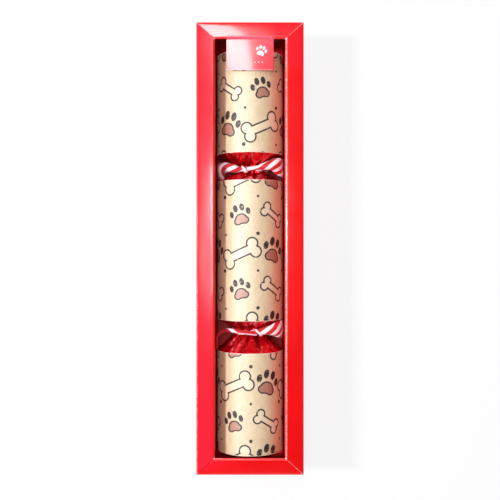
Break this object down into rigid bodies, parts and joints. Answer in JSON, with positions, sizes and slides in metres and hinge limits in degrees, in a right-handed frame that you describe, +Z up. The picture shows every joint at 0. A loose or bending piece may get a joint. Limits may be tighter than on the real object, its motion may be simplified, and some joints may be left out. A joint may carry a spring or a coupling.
{
  "type": "christmas cracker",
  "caption": "Christmas cracker of card tubes in printed kraft paper, with gathered foil necks tied by striped ribbon, lying in a red card window box with a lift-off frame lid.",
  "frame": {"origin": "middle of the tray's underside, where the box rests on its back", "axes": "+Z up out of the window, +Y along the box to the head end with the label tab, +X across"},
  "size_m": [0.0874, 0.3684, 0.0612],
  "materials": {
    "red_card": "gloss",
    "label_card": "gloss",
    "tube_card": "matte",
    "kraft_print": "satin",
    "red_foil": "polished",
    "striped_ribbon": "satin",
    "snap_card": "matte",
    "snap_paper": "matte",
    "charge_mix": "matte",
    "tissue": "matte",
    "slip_paper": "matte",
    "rawhide": "satin"
  },
  "bodies": {
    "box": {"tray": "red_card", "cradle": "red_card"},
    "lid": {"lid": "red_card"},
    "label": {"label_tab": "label_card"},
    "barrel": {"barrel_tube": "tube_card", "barrel_wrap": "kraft_print", "barrel_foil": "red_foil", "head_neck_inner": "red_foil", "foot_neck_inner": "red_foil", "snap_sleeve": "snap_paper", "charge": "charge_mix", "paper_hat": "tissue", "motto_slip": "slip_paper", "chew": "rawhide"},
    "head_tie": {"head_ribbon": "striped_ribbon"},
    "head": {"head_tube": "tube_card", "head_wrap": "kraft_print", "head_neck_outer": "red_foil", "head_strip": "snap_card"},
    "foot_tie": {"foot_ribbon": "striped_ribbon"},
    "foot": {"foot_tube": "tube_card", "foot_wrap": "kraft_print", "foot_neck_outer": "red_foil", "foot_strip": "snap_card"}
  },
  "joints": [
    {"name": "lid_lift", "type": "slide", "parent": "box", "child": "lid", "axis": [0, 0, 1], "range_m": [0, 0.16]},
    {"name": "label_fold", "type": "hinge", "parent": "lid", "child": "label", "pos_m": [0, 0.17005, 0.0609], "axis": [-1, 0, 0], "range_deg": [0, 165]},
    {"name": "cracker_lift", "type": "slide", "parent": "box", "child": "barrel", "axis": [0, 0, 1], "range_m": [0, 0.08]},
    {"name": "head_pull", "type": "slide", "parent": "barrel", "child": "head_tie", "axis": [0, 1, 0], "range_m": [0, 0.005], "deforming": ["head_neck_inner"]},
    {"name": "head_draw", "type": "slide", "parent": "head_tie", "child": "head", "axis": [0, 1, 0], "range_m": [0, 0.005], "deforming": ["head_neck_outer"]},
    {"name": "foot_pull", "type": "slide", "parent": "barrel", "child": "foot_tie", "axis": [0, -1, 0], "range_m": [0, 0.005], "deforming": ["foot_neck_inner"]},
    {"name": "foot_draw", "type": "slide", "parent": "foot_tie", "child": "foot", "axis": [0, -1, 0], "range_m": [0, 0.005], "deforming": ["foot_neck_outer"]}
  ],
  "couplings": [
    {"joint": "cracker_lift", "follows": "lid_lift", "ratio": 0.5},
    {"joint": "head_draw", "follows": "head_pull", "ratio": 1},
    {"joint": "foot_draw", "follows": "foot_pull", "ratio": 1}
  ]
}
